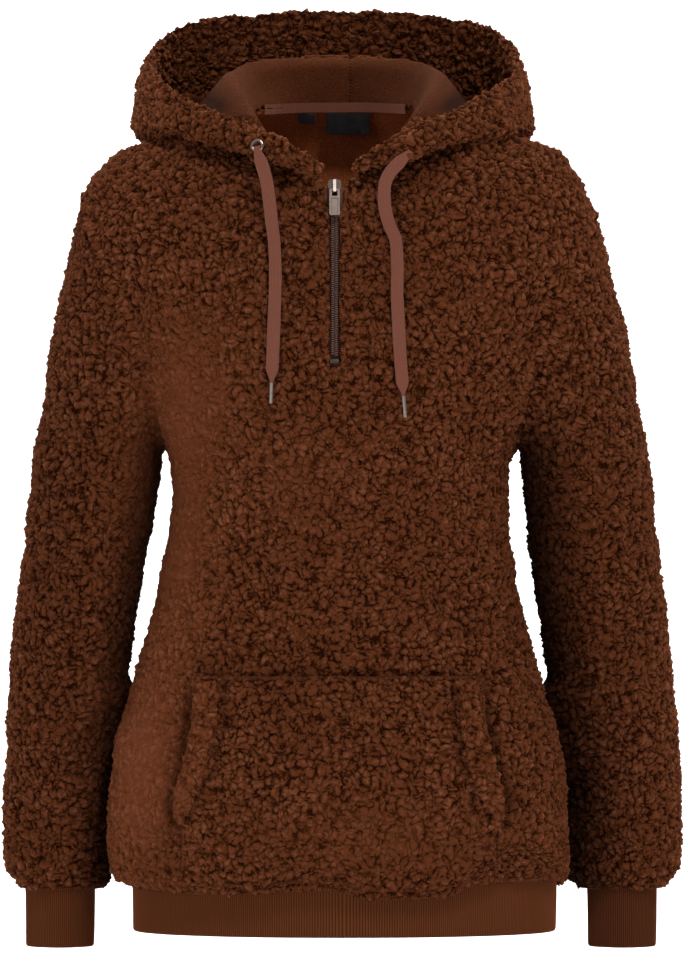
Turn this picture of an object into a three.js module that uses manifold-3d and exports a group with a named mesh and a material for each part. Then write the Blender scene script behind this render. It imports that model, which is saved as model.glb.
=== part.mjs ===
// Sherpa fleece half-zip pullover with a dropped hood, worn form, hollow.
// Frame: millimetres, +Z up, the front faces -Y, +X is the image's right.
// The origin is the middle of the neck between the shoulders, where the wearer carries it.
import * as THREE from 'three';
import Module from 'manifold-3d';
import { mergeVertices } from 'three/addons/utils/BufferGeometryUtils.js';

const wasm = await Module();
wasm.setup();

// Sizes of the cloth and trims
const WALL = 8; // fleece with its pile
const SEAM = 0.3; // gap between two sewn pieces
const RIB_WALL = 3;
const OVAL = 2.25; // exponent of the torso's rings, 2 is an ellipse
const ARM_OVAL = 2.1;
const TORSO_SIDES = 32;
const ARM_SIDES = 18;
const SIDE_SEAM_Y = 5;
const YOKE_SEAM_Z = -130;
const CENTRE_SEAM_X = 3;
const WAIST_Z = -330;
const ELBOW_Z = -450;
const ZIP_X = -5.5;
const BACK_SEAM_X = 8; // the hood's middle seam sits to one side

// Torso rings: height, middle x, half width, depth to the front, depth to the back, wall
const torsoRows = [
  [2, 0, 68, 14, 66, 8],
  [-4, 0, 76, 26, 71, 8],
  [-14, 0, 105, 44, 79, 8],
  [-24, 0, 136, 57, 86, 8],
  [-36, 0, 172, 70, 93, 8],
  [-46, 0, 198, 80, 97, 8],
  [-58, -2, 209, 91, 101, 8],
  [-72, -4.5, 219, 102, 104, 8],
  [-88, -4, 226, 108, 107, 8],
  [-115, -3, 230, 114, 110, 8],
  [-150, -1, 222, 118, 112, 8],
  [-200, 0, 200, 121, 113, 8],
  [-250, 0, 180, 121, 112, 8],
  [-290, 0, 160, 119, 110, 8],
  [-320, 0.5, 150.5, 116, 107, 8],
  [-352, 1, 147.5, 113, 105, 8],
  [-387, -1.5, 151.5, 113, 105, 8],
  [-422, -3, 158, 115, 108, 8],
  [-458, -3, 167, 119, 113, 8],
  [-493, -3.5, 175.5, 124, 119, 8],
  [-528, -2.5, 185.5, 128, 124, 8],
  [-565, -2.5, 197, 131, 128, 8],
  [-605, -2, 203, 133, 131, 8],
  [-644, -2, 205, 134, 131, 8],
  [-668, -1.5, 205.5, 132, 129, 8],
  [-680, -0.5, 204.5, 129, 126, 8],
  [-688, 1.5, 199, 124, 121, 7.2],
  [-693, 3, 190.6, 118.6, 115.6, 3.2],
];

// Sleeve rings, left arm: outer point x and z, inner point x and z, middle y, half depth, wall,
// then how much nearer to the body the right sleeve's outer and inner points are
const sleeveRows = [
  [-190, -76, -122, -268, 8, 60, 8, 0, 0],
  [-228, -86, -155, -290, 8, 70, 8, 5, 0],
  [-236, -108, -155, -298, 8, 70, 8, 6, 0],
  [-244, -141, -156, -308, 9, 69, 8, 5, 0],
  [-254, -195, -158, -330, 10, 67, 8, 2, 1],
  [-263, -255, -163, -358, 12, 65, 8, 1, 3],
  [-273, -317, -168, -388, 14, 63, 8, 0, 5],
  [-281.5, -385, -174, -425, 17, 61, 8, -1, 6],
  [-290, -455, -181, -470, 23, 59, 8, 0, 6],
  [-296, -515, -190, -520, 33, 57, 8, -1, 6],
  [-299.5, -563, -203, -563, 42, 55, 8, -1.5, 8],
  [-301.5, -610, -208, -610, 51, 53, 8, -1.5, 11],
  [-302, -650, -208.5, -650, 56, 51, 8, -2, 13],
  [-301.5, -674, -208, -674, 58, 48, 8, -1.5, 14],
  [-297.5, -686, -208.5, -686, 58, 45, 7.6, -1.5, 12],
  [-289, -694, -211.5, -694, 58, 40, 5.8, -1, 5],
  [-284, -698, -214.5, -698, 58, 36.5, 3.2, 0, 0],
];

// Armhole line down to where the sleeve hangs clear of the body, left side, x and z
const armholeLine = [
  [-221, 40], [-224, -60], [-227, -88], [-223, -111], [-210, -150], [-195, -186], [-179, -216],
  [-165, -250], [-155.5, -290], [-154.5, -312], [-155, -335], [-157, -360], [-161, -400],
  [-166, -430],
];
const ARM_CLEAR_Z = -430;

// Hood rows from the front edge to the back middle, right half. Each row holds five points of
// x, y, z: neck seam, crest of the neck wall, bottom of the fold inside, bulge outside, rim.
const hoodRows = [
  [[11, -103, -75], [11, -106, -71], [11.5, -109, -69], [12.5, -112.5, -68], [13, -111.5, -61]],
  [[22, -99, -70], [24, -102, -63], [25, -108, -62], [28, -114, -63], [28, -112, -48]],
  [[42, -91, -57], [45, -95, -49], [50, -104, -53], [56, -112, -57], [54, -107, -34]],
  [[62, -70, -38], [67, -74, -26], [77, -84, -36], [92, -96, -45], [88, -90, -18]],
  [[74, -40, -18], [81, -43, -4], [98, -53, -22], [130, -68, -37], [118, -66, -4]],
  [[77, -8, -7], [89, -10, 11], [113, -18, -12], [164, -30, -33], [144, -31, 11]],
  [[74, 20, -2], [92, 22, 23], [126, 32, -13], [179, 36, -27], [164, 20, 31]],
  [[60, 46, 0], [86, 54, 31], [122, 96, -56], [170, 108, -30], [156, 82, 61]],
  [[34, 62, 1], [56, 76, 36], [74, 124, -106], [112, 160, -72], [114, 126, 83]],
  [[0, 68, 1], [0, 84, 39], [0, 132, -122], [0, 182, -88], [0, 150, 91]],
];
const HOOD_STEPS = 17; // rings of the hood in each half
const HOOD_CUTS = 15; // points along each ring
const RIM_WALL = 14; // two layers at the turned hem
const HEM_DEPTH = 36;

// Pocket outline, right half: height, half width at the open edge
const pocketEdge = [
  [-503, 127], [-512, 127], [-538, 127], [-563, 132], [-584, 137], [-606, 144], [-625, 144],
  [-641, 136], [-660, 137], [-684, 139],
];
const POCKET_WALL = 7;
const MOUTH_FROM = -505;
const MOUTH_TO = -643;
const MOUTH_GAP = 15;
const WELT_WIDTH = 25;
const WELT_RISE = 5.5;
const POCKET_X = -2;

// Ribbed bands: middle x, middle y, half width, half depth to front and back
const hemBand = { x: 3, half: 187, front: 115, back: 112, top: -684, bottom: -730 };
const cuff = { x: 249.5, y: 58, half: 31.3, depth: 33, top: -686, bottom: -748 };

const clamp = (v, a, b) => Math.min(b, Math.max(a, v));
const smooth = (v) => {
  const t = clamp(v, 0, 1);
  return t * t * (3 - 2 * t);
};
const add3 = (a, b, s = 1) => [a[0] + b[0] * s, a[1] + b[1] * s, a[2] + b[2] * s];
const sub3 = (a, b) => add3(a, b, -1);
const dot3 = (a, b) => a[0] * b[0] + a[1] * b[1] + a[2] * b[2];
const cross3 = (a, b) => [
  a[1] * b[2] - a[2] * b[1], a[2] * b[0] - a[0] * b[2], a[0] * b[1] - a[1] * b[0],
];
const unit3 = (a) => {
  const l = Math.hypot(...a) || 1;
  return a.map((v) => v / l);
};

// Solids from points and triangles
function solidOf(points, tris) {
  let volume = 0;
  for (const [a, b, c] of tris) volume += dot3(points[a], cross3(points[b], points[c]));
  const flat = volume < 0 ? tris.map(([a, b, c]) => [a, c, b]) : tris;
  const mesh = new wasm.Mesh({
    numProp: 3,
    vertProperties: new Float32Array(points.flat()),
    triVerts: new Uint32Array(flat.flat()),
  });
  return new wasm.Manifold(mesh);
}

// A closed body through rings of equal length, capped at both ends
function loft(rings) {
  const n = rings[0].length;
  const points = rings.flat();
  const tris = [];
  for (let r = 0; r + 1 < rings.length; r++) {
    for (let i = 0; i < n; i++) {
      const a = r * n + i;
      const b = r * n + ((i + 1) % n);
      tris.push([a, b, b + n], [a, b + n, a + n]);
    }
  }
  for (const [r, flip] of [[0, true], [rings.length - 1, false]]) {
    const middle = rings[r].reduce((s, p) => add3(s, p, 1 / n), [0, 0, 0]);
    points.push(middle);
    const m = points.length - 1;
    for (let i = 0; i < n; i++) {
      const a = r * n + i;
      const b = r * n + ((i + 1) % n);
      tris.push(flip ? [m, b, a] : [m, a, b]);
    }
  }
  return solidOf(points, tris);
}

// A closed sheet between two grids of points
function sheetSolid(outer, inner) {
  const rows = outer.length;
  const cols = outer[0].length;
  const points = [...outer.flat(), ...inner.flat()];
  const half = rows * cols;
  const at = (r, c, s) => s * half + r * cols + c;
  const tris = [];
  for (let r = 0; r + 1 < rows; r++) {
    for (let c = 0; c + 1 < cols; c++) {
      const q = [at(r, c, 0), at(r, c + 1, 0), at(r + 1, c + 1, 0), at(r + 1, c, 0)];
      tris.push([q[0], q[1], q[2]], [q[0], q[2], q[3]]);
      const w = q.map((v) => v + half);
      tris.push([w[0], w[2], w[1]], [w[0], w[3], w[2]]);
    }
  }
  const rim = [];
  for (let c = 0; c < cols; c++) rim.push([0, c]);
  for (let r = 1; r < rows; r++) rim.push([r, cols - 1]);
  for (let c = cols - 2; c >= 0; c--) rim.push([rows - 1, c]);
  for (let r = rows - 2; r > 0; r--) rim.push([r, 0]);
  rim.forEach(([r, c], i) => {
    const [r2, c2] = rim[(i + 1) % rim.length];
    const [a, b] = [at(r, c, 0), at(r2, c2, 0)];
    tris.push([a, a + half, b + half], [a, b + half, b]);
  });
  return solidOf(points, tris);
}

// A prism along Y over a polygon of x and z
function prismY(poly, y0, y1) {
  const shape = poly.map(([x, z]) => new THREE.Vector2(x, z));
  const faces = THREE.ShapeUtils.triangulateShape(shape, []);
  const n = poly.length;
  const points = [...poly.map(([x, z]) => [x, y0, z]), ...poly.map(([x, z]) => [x, y1, z])];
  const tris = faces.map(([a, b, c]) => [a, b, c]);
  faces.forEach(([a, b, c]) => tris.push([a + n, c + n, b + n]));
  const ccw = THREE.ShapeUtils.area(shape) > 0;
  for (let i = 0; i < n; i++) {
    const j = (i + 1) % n;
    const side = [[i, i + n, j + n], [i, j + n, j]];
    side.forEach(([a, b, c]) => tris.push(ccw ? [a, b, c] : [a, c, b]));
  }
  return solidOf(points, tris);
}

function fromGeometry(geometry) {
  const g = geometry.clone();
  g.deleteAttribute('normal');
  g.deleteAttribute('uv');
  const m = mergeVertices(g, 1e-4);
  const p = m.attributes.position;
  const points = Array.from({ length: p.count }, (_, i) => [p.getX(i), p.getY(i), p.getZ(i)]);
  const tris = [];
  for (let i = 0; i < m.index.count; i += 3) {
    tris.push([m.index.getX(i), m.index.getX(i + 1), m.index.getX(i + 2)]);
  }
  return solidOf(points, tris);
}

const box = (x0, x1, y0, y1, z0, z1) => {
  const g = new THREE.BoxGeometry(x1 - x0, y1 - y0, z1 - z0);
  g.translate((x0 + x1) / 2, (y0 + y1) / 2, (z0 + z1) / 2);
  return fromGeometry(g);
};

// The largest body of a cut solid
const largest = (m) =>
  m.decompose().reduce((best, part) => (part.volume() > best.volume() ? part : best));

// A value of a row table at a height, straight between the rows
function rowAt(rows, z, column) {
  if (z >= rows[0][0]) return rows[0][column];
  for (let i = 0; i + 1 < rows.length; i++) {
    const [a, b] = [rows[i], rows[i + 1]];
    if (z >= b[0]) return a[column] + ((b[column] - a[column]) * (z - a[0])) / (b[0] - a[0]);
  }
  return rows[rows.length - 1][column];
}

function ovalRing(x, y, z, half, front, back, power, sides) {
  return Array.from({ length: sides }, (_, i) => {
    const t = ((i + 0.5) / sides) * Math.PI * 2;
    const c = Math.cos(t);
    const s = Math.sin(t);
    const px = Math.sign(c) * Math.abs(c) ** (2 / power) * half;
    const py = Math.sign(s) * Math.abs(s) ** (2 / power) * (s < 0 ? front : back);
    return [x + px, y + py, z];
  });
}

// Torso body moved inwards by a share of its own wall plus a distance
const HIGH_END = -150; // above it the shoulder's slope turns the wall
function torsoBody(wallShare, more) {
  const rings = torsoRows.map((row, k) => {
    const d = row[5] * wallShare + more;
    let [z, x, half, front, back] = row;
    if (z > HIGH_END) {
      const up = torsoRows[Math.max(0, k - 1)];
      const down = torsoRows[k + 1];
      const dh = down[2] - up[2];
      const dz = down[0] - up[0];
      const len = Math.hypot(dh, dz);
      z -= (d * dh) / len;
      half -= (d * -dz) / len;
      const slope = (c) => (rowAt(torsoRows, z + 5, c) - rowAt(torsoRows, z - 5, c)) / 10;
      front = rowAt(torsoRows, z, 3) - d * Math.hypot(1, slope(3));
      back = rowAt(torsoRows, z, 4) - d * Math.hypot(1, slope(4));
      front = Math.max(front, 4);
    } else {
      half -= d;
      front -= d;
      back -= d;
    }
    return ovalRing(x, 0, z, half, front, back, OVAL, TORSO_SIDES);
  });
  return loft(rings);
}

function sleeveBody(wallShare, more, side) {
  const rings = sleeveRows.map(([outerX, oz, innerX, iz, y, depth, wall, outerIn, innerIn], k) => {
    const d = wall * wallShare + more;
    const [ox, ix] = side < 0 ? [outerX, innerX] : [outerX + outerIn, innerX + innerIn];
    const middle = [(ox + ix) / 2, y, (oz + iz) / 2];
    const reach = [(ox - ix) / 2, 0, (oz - iz) / 2];
    const half = Math.hypot(...reach);
    const across = unit3(reach);
    return Array.from({ length: ARM_SIDES }, (_, i) => {
      const t = ((i + 0.5) / ARM_SIDES) * Math.PI * 2;
      const c = Math.cos(t);
      const s = Math.sin(t);
      const u = Math.sign(c) * Math.abs(c) ** (2 / ARM_OVAL) * (half - d);
      const v = Math.sign(s) * Math.abs(s) ** (2 / ARM_OVAL) * (depth - d);
      const p = add3(middle, across, u);
      // the arm leans a little behind the body, more so at the elbow
      const bend = 4 * Math.sin((Math.PI * k) / (sleeveRows.length - 1));
      return [p[0] * side * -1, p[1] + v + bend, p[2]];
    });
  });
  return loft(rings);
}

// Depth of the torso's front at x and z
function frontY(x, z) {
  const half = rowAt(torsoRows, z, 2);
  const u = Math.abs(x - rowAt(torsoRows, z, 1)) / half;
  return -rowAt(torsoRows, z, 3) * Math.max(0, 1 - u ** OVAL) ** (1 / OVAL);
}

// Outward normal of the torso at a point near its surface
function torsoNormal([x, y, z]) {
  const f = (a, b, c) => {
    const u = Math.abs(a - rowAt(torsoRows, c, 1)) / rowAt(torsoRows, c, 2);
    const v = Math.abs(b) / rowAt(torsoRows, c, b < 0 ? 3 : 4);
    return (u ** OVAL + v ** OVAL) ** (1 / OVAL);
  };
  const e = 3;
  const up = Math.min(z + e, 2);
  const dz = (f(x, y, up) - f(x, y, z - e)) / (up - z + e);
  const dx = (f(x + e, y, z) - f(x - e, y, z)) / (2 * e);
  const dy = (f(x, y + e, z) - f(x, y - e, z)) / (2 * e);
  return unit3([dx, dy, dz]);
}

// The hood sits a little to the left, more so at the front where it meets the zip
const hoodShift = ([x, y, z]) => [x * (x > 0 ? 0.97 : 1.0) + ZIP_X * (y < -60 ? 1 : 0.8), y, z];

// Smooth curve through points of the same length
function curveAt(points, t) {
  const n = points.length - 1;
  const s = clamp(t, 0, 1) * n;
  const i = Math.min(Math.floor(s), n - 1);
  const f = s - i;
  const p = (k) => {
    if (k < 0) return points[0].map((v, c) => 2 * v - points[1][c]);
    if (k > n) return points[n].map((v, c) => 2 * v - points[n - 1][c]);
    return points[k];
  };
  const [a, b, c, d] = [p(i - 1), p(i), p(i + 1), p(i + 2)];
  return b.map((v, k) => {
    const m0 = (c[k] - a[k]) / 2;
    const m1 = (d[k] - b[k]) / 2;
    const h = c[k] - v;
    return v + f * (m0 + f * (3 * h - 2 * m0 - m1 + f * (m0 + m1 - 2 * h)));
  });
}

const mirrorX = ([x, y, z]) => [-x, y, z];
const hoodFull = [
  ...hoodRows.slice(0, -1).map((row) => row.map(mirrorX)),
  ...[...hoodRows].reverse(),
].map((row) => row.map(hoodShift));

function neckLoop(count) {
  const seam = hoodFull.map((row) => row[0]);
  return Array.from({ length: count }, (_, i) => curveAt(seam, i / (count - 1)));
}

// A cone along the neck seam. What lies inside it is the neck opening.
function neckCutter(shrink) {
  const loop = neckLoop(40);
  const centre = [ZIP_X, -10, 0];
  const low = [];
  const high = [];
  loop.forEach((p, i) => {
    const n = torsoNormal(p);
    const along = unit3(sub3(loop[(i + 1) % loop.length], loop[(i + loop.length - 1) % loop.length]));
    let inward = unit3(cross3(n, along));
    if (dot3(inward, sub3(centre, p)) < 0) inward = inward.map((v) => -v);
    const q = add3(p, inward, shrink);
    low.push(add3(q, n, -16));
    high.push(add3(q, n, 34));
  });
  return loft([low, high]);
}

// Hood wall: a sheet from the neck seam over the crest, down into the fold and up to the rim
function hoodBody() {
  const count = HOOD_STEPS * 2 + 1;
  const grid = [];
  for (let i = 0; i < count; i++) {
    const s = i / (count - 1);
    const columns = [0, 1, 2, 3, 4].map((c) => curveAt(hoodFull.map((r) => r[c]), s));
    const n = torsoNormal(columns[0]);
    const start = add3(columns[0], n, -WALL / 2);
    const first = unit3(sub3(columns[1], start));
    columns[0] = add3(start, first, -5);
    grid.push(Array.from({ length: HOOD_CUTS }, (_, j) => curveAt(columns, j / (HOOD_CUTS - 1))));
  }
  const outer = [];
  const inner = [];
  grid.forEach((line, i) => {
    let total = 0;
    const length = line.map((p, j) => (total += j ? Math.hypot(...sub3(p, line[j - 1])) : 0));
    const end = Math.min(i, grid.length - 1 - i);
    outer.push([]);
    inner.push([]);
    line.forEach((p, j) => {
      const du = sub3(grid[Math.min(i + 1, grid.length - 1)][j], grid[Math.max(i - 1, 0)][j]);
      const dv = sub3(line[Math.min(j + 1, line.length - 1)], line[Math.max(j - 1, 0)]);
      const n = unit3(cross3(dv, du));
      const rim = smooth(1 - (total - length[j] - HEM_DEPTH + 12) / 14) * smooth(length[j] / 12);
      let half = (WALL + (RIM_WALL - WALL) * rim) / 2;
      if (j === line.length - 1) half *= 0.55;
      if (end === 0) half *= 0.7;
      outer[i].push(add3(p, n, half));
      inner[i].push(add3(p, n, -half));
    });
  });
  return sheetSolid(outer, inner);
}

// Materials, one for each real material
const cloth = (r, g, b, rough = 0.95) =>
  new THREE.MeshStandardMaterial({
    color: new THREE.Color(r / 255, g / 255, b / 255), roughness: rough, metalness: 0,
  });
const metal = (v, rough) =>
  new THREE.MeshStandardMaterial({ color: new THREE.Color(v, v, v), roughness: rough, metalness: 1 });
const fleece = cloth(79, 42, 25);
const rib = cloth(79, 41, 22);
const tapeCloth = cloth(93, 56, 41);
const cordCloth = cloth(118, 71, 58);
const labelSatin = cloth(18, 17, 18, 0.45);
const coilPlastic = cloth(57, 35, 27, 0.5);
const gunmetal = metal(0.42, 0.35);
const nickel = metal(0.7, 0.3);

const group = new THREE.Group();
group.name = 'sherpa_fleece_pullover';
function add(name, solid, material) {
  const m = solid.getMesh();
  const g = new THREE.BufferGeometry();
  const p = new Float32Array(m.numVert * 3);
  for (let i = 0; i < m.numVert; i++) {
    for (let c = 0; c < 3; c++) p[i * 3 + c] = m.vertProperties[i * m.numProp + c];
  }
  g.setAttribute('position', new THREE.BufferAttribute(p, 3));
  g.setIndex(new THREE.BufferAttribute(new Uint32Array(m.triVerts), 1));
  g.computeVertexNormals();
  const mesh = new THREE.Mesh(g, material);
  mesh.name = name;
  group.add(mesh);
}

// Body and sleeves: one outer form less one inner form, then cut at the seams
const armL = -1;
const armR = 1;
const outerForm = torsoBody(0, 0).add(sleeveBody(0, 0, armL)).add(sleeveBody(0, 0, armR));
const innerForm = torsoBody(1, 0).add(sleeveBody(1, 0, armL)).add(sleeveBody(1, 0, armR));
// The ribbed bands stand in the fleece's mouths with a seam gap round them
function bandPlug(x, y, half, front, back, top, bottom, power, sides) {
  const ring = (z) => ovalRing(x, y, z, half + SEAM, front + SEAM, back + SEAM, power, sides);
  return loft([ring(top + 1), ring(bottom)]);
}
const { x: hx, half: hh, front: hf, back: hb, top: ht, bottom: hbt } = hemBand;
const { x: cx, y: cy, half: ch, depth: cd, top: ct, bottom: cb } = cuff;
const plugs = bandPlug(hx, 0, hh, hf, hb, ht, hbt, OVAL, TORSO_SIDES)
  .add(bandPlug(-cx, cy, ch, cd, cd, ct, cb, ARM_OVAL, ARM_SIDES))
  .add(bandPlug(cx, cy, ch, cd, cd, ct, cb, ARM_OVAL, ARM_SIDES));
const shell = outerForm.subtract(innerForm).subtract(plugs);

const clearOfBody = box(-400, 400, -300, 300, -760, ARM_CLEAR_Z + 2);
const armSide = (shift, side) => {
  const line = armholeLine.map(([x, z]) => [(x + shift) * -side, z]);
  const upper = prismY([...line, [-400 * -side, ARM_CLEAR_Z], [-400 * -side, 40]], -300, 300);
  return upper.add(sleeveBody(0, -1, side).intersect(clearOfBody));
};
const neck = neckCutter(0);
let bodyShell = shell.subtract(neck);
for (const side of [armL, armR]) bodyShell = bodyShell.subtract(armSide(SEAM / 2, side));
const zipSlit = prismY(
  [
    [ZIP_X - 8.5, -40], [ZIP_X + 8.5, -40], [ZIP_X + 7.5, -89], [ZIP_X + 4.7, -101],
    [ZIP_X + 4.5, -234], [ZIP_X - 4.5, -234], [ZIP_X - 4.7, -101], [ZIP_X - 7.5, -89],
  ],
  -300, 0,
);
const frontHalf = box(-400, 400, -300, SIDE_SEAM_Y - SEAM / 2, -800, 100);
const backHalf = box(-400, 400, SIDE_SEAM_Y + SEAM / 2, 300, -800, 100);
const above = (z) => box(-400, 400, -300, 300, z + SEAM / 2, 100);
const below = (z) => box(-400, 400, -300, 300, -800, z - SEAM / 2);
const frontForm = largest(bodyShell.intersect(frontHalf).subtract(zipSlit));
add('front', largest(frontForm.intersect(above(WAIST_Z))), fleece);
add('front_lower', largest(frontForm.intersect(below(WAIST_Z))), fleece);
const backForm = bodyShell.intersect(backHalf);
const belowYoke = (x0, x1) => box(x0, x1, 0, 300, -800, YOKE_SEAM_Z - SEAM / 2);
const aboveYoke = box(-400, 400, 0, 300, YOKE_SEAM_Z + SEAM / 2, 100);
const backLeft = belowYoke(-400, CENTRE_SEAM_X - SEAM / 2);
const backRight = belowYoke(CENTRE_SEAM_X + SEAM / 2, 400);
add('back_left', largest(backForm.intersect(backLeft)), fleece);
add('back_right', largest(backForm.intersect(backRight)), fleece);
add('back_yoke', largest(backForm.intersect(aboveYoke)), fleece);
for (const [name, side] of [['sleeve_left', armL], ['sleeve_right', armR]]) {
  const form = largest(shell.intersect(armSide(-SEAM / 2, side)));
  add(name, largest(form.intersect(above(ELBOW_Z))), fleece);
  add(name + '_lower', largest(form.intersect(below(ELBOW_Z))), fleece);
}

// Hood, kept clear of the body by a seam gap and split at its middle seam
const keepOut = torsoBody(0, -0.4)
  .add(sleeveBody(0, -0.4, armL))
  .add(sleeveBody(0, -0.4, armR))
  .subtract(neckCutter(SEAM));
const hood = hoodBody().subtract(keepOut);
add('hood_left', largest(hood.intersect(box(-400, BACK_SEAM_X - SEAM / 2, -300, 400, -300, 300))), fleece);
add('hood_right', largest(hood.intersect(box(BACK_SEAM_X + SEAM / 2, 400, -300, 400, -300, 300))), fleece);

// Hem band and cuffs
function band(x, y, half, front, back, top, bottom, power, sides, taper) {
  const ring = (z, d, t) => ovalRing(x, y, z, half - d - t, front - d - t, back - d - t, power, sides);
  const outer = loft([ring(top, 0, 0), ring(bottom + 2, 0, taper), ring(bottom, 0.6, taper)]);
  const inner = loft([ring(top + 5, RIB_WALL, 0), ring(bottom - 5, RIB_WALL, taper)]);
  return outer.subtract(inner);
}
add('hem_band', band(hx, 0, hh, hf, hb, ht, hbt, OVAL, TORSO_SIDES, 1), rib);
for (const [name, side] of [['cuff_left', -1], ['cuff_right', 1]]) {
  add(name, band(cx * side, cy, ch, cd, cd, ct, cb, ARM_OVAL, ARM_SIDES, 1), rib);
}

// Kangaroo pocket and its welts, made from points of the front moved outwards
const pocketHalf = (z) => rowAt(pocketEdge, z, 1);
function pocketGap(u, z) {
  const v = (pocketEdge[0][0] - z) / (pocketEdge[0][0] - pocketEdge[pocketEdge.length - 1][0]);
  const mouth = Math.sin(Math.PI * clamp((MOUTH_FROM - z) / (MOUTH_FROM - MOUTH_TO), 0, 1)) ** 0.7;
  return 0.45 + 2.5 * Math.sin(Math.PI * v) + MOUTH_GAP * Math.abs(u) ** 5 * mouth;
}
const pocketPoint = (u, z, out) => {
  const x = POCKET_X + u * pocketHalf(z);
  return [x, frontY(x, z) - pocketGap(u, z) - out, z];
};
const pocketRows = Array.from({ length: 13 }, (_, i) => -503 - (181 * i) / 12);
const pocketCols = Array.from({ length: 15 }, (_, i) => Math.sin(((i / 14) * 2 - 1) * 1.35) / Math.sin(1.35));
const pocketGrid = (out) => pocketRows.map((z) => pocketCols.map((u) => pocketPoint(u, z, out)));
const clearOfFront = torsoBody(0, -0.35);
const pocketBody = sheetSolid(pocketGrid(POCKET_WALL), pocketGrid(0)).subtract(clearOfFront);
add('pocket', largest(pocketBody), fleece);
for (const [name, side] of [['pocket_welt_left', -1], ['pocket_welt_right', 1]]) {
  const grid = (lift) =>
    Array.from({ length: 12 }, (_, i) => {
      const t = i / 11;
      const z = MOUTH_FROM - 3 + (MOUTH_TO + 8 - MOUTH_FROM) * t;
      const width = WELT_WIDTH * (1 - 0.65 * smooth((t - 0.72) / 0.28));
      return Array.from({ length: 6 }, (_, j) => {
        const u = side * (1 - ((j / 5) * width) / pocketHalf(z));
        const crown = Math.sin((Math.PI * (j + 0.6)) / 6.2);
        return pocketPoint(u, z, POCKET_WALL + 0.9 + lift * (0.45 + 0.55 * crown));
      });
    });
  add(name, sheetSolid(grid(WELT_RISE), grid(0)), fleece);
}

// Half zip: tapes behind the slit, the chain in it, and a stop at its lower end
const strip = (x0, x1, z0, z1) => box(x0, x1, -300, 0, z0, z1);
const tapeLayer = torsoBody(1, SEAM).subtract(torsoBody(1, SEAM + 1.2));
const tapeStripLeft = strip(ZIP_X - 14, ZIP_X - SEAM / 2, -242, -81);
const tapeStripRight = strip(ZIP_X + SEAM / 2, ZIP_X + 14, -242, -81);
add('zip_tape_left', largest(tapeLayer.intersect(tapeStripLeft)), tapeCloth);
add('zip_tape_right', largest(tapeLayer.intersect(tapeStripRight)), tapeCloth);
const chainLayer = torsoBody(0, 5).subtract(torsoBody(0, WALL));
add('zip_coil', largest(chainLayer.intersect(strip(ZIP_X - 3.6, ZIP_X + 3.6, -229.8, -89.2))), coilPlastic);
const stopLayer = torsoBody(0, 4.2).subtract(torsoBody(0, WALL));
const stopStrip = strip(ZIP_X - 3.9, ZIP_X + 3.9, -233.4, -230.1);
add('zip_bottom_stop', largest(stopLayer.intersect(stopStrip)), gunmetal);

// Slider and pull stand on the chest's slope: x across, w down along it, v out of it
const slideZ = -80;
const slope = (rowAt(torsoRows, slideZ - 6, 3) - rowAt(torsoRows, slideZ + 6, 3)) / 12;
const [cosS, sinS] = [1 / Math.hypot(1, slope), slope / Math.hypot(1, slope)];
const onSlope = (x, w, v) => [
  ZIP_X + x, frontY(ZIP_X, slideZ) - sinS * w - cosS * v, slideZ - cosS * w + sinS * v,
];
function plate(outline, v0, v1) {
  const flat = prismY(outline.map(([x, w]) => [x, -w]), -v1, -v0);
  const m = flat.getMesh();
  const points = [];
  for (let i = 0; i < m.numVert; i++) {
    const [x, y, z] = m.vertProperties.slice(i * m.numProp, i * m.numProp + 3);
    points.push(onSlope(x, -z, -y));
  }
  const tris = [];
  for (let i = 0; i < m.triVerts.length; i += 3) tris.push([...m.triVerts.slice(i, i + 3)]);
  return solidOf(points, tris);
}
const rect = (x0, x1, w0, w1) => [[x0, w0], [x1, w0], [x1, w1], [x0, w1]];
const sliderBody = plate(
  [[-4.2, -6.5], [4.2, -6.5], [5.6, -4.5], [5.6, 0], [4.1, 6.3], [-4.1, 6.3], [-5.6, 0], [-5.6, -4.5]],
  -6.6, -1.5,
);
const bridge = plate(rect(-1.3, 1.3, -5, 6.4), 1.35, 2.6)
  .add(plate(rect(-1.3, 1.3, -5, -3.7), -1.6, 1.4))
  .add(plate(rect(-1.3, 1.3, 5.2, 6.4), -1.6, 1.4));
add('zip_slider', sliderBody.add(bridge), gunmetal);
const pullOutline = [
  [-3.6, 3], [3.6, 3], [4.7, 4.4], [4.7, 26.8], [3.8, 27.8], [-3.8, 27.8], [-4.7, 26.8], [-4.7, 4.4],
];
const pullSlot = plate(rect(-2.4, 2.4, 4.6, 9.6), -2, 2);
const pullPanel = plate(rect(-2.7, 2.7, 12, 25.5), 0.45, 2);
add('zip_pull', plate(pullOutline, -0.75, 0.75).subtract(pullSlot).subtract(pullPanel), gunmetal);

// Neck tape along the back of the seam inside, and two bare labels under it
const backSeam = neckLoop(61).filter((p) => p[1] > 27);
const tapeGrid = (inset) =>
  backSeam.map((p) => {
    const n = torsoNormal(p);
    const away = unit3([n[0], n[1], 0]);
    const q = add3(add3(p, n, -WALL), away, -inset);
    return [0, 1, 2, 3].map((k) => [q[0], q[1], q[2] - 3.7 + k * 2.9]);
  });
add('neck_tape', largest(sheetSolid(tapeGrid(3), tapeGrid(4.2)).subtract(hood)), tapeCloth);
function label(name, x0, x1, top, drop) {
  const wallY = (x) => 56.6 - 0.0046 * (x + 4) ** 2;
  const lean = 0.3;
  const face = (t) =>
    [0, 0.5, 1].map((f) =>
      [x0, (x0 + x1) / 2, x1].map((x) => [x, wallY(x) + lean * drop * f + t, top - drop * f]),
    );
  add(name, sheetSolid(face(0), face(0.9)), labelSatin);
}
label('label_main', -13, 25.5, -8.4, 19);
label('label_size', -38, -23, -9.3, 9);

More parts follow.
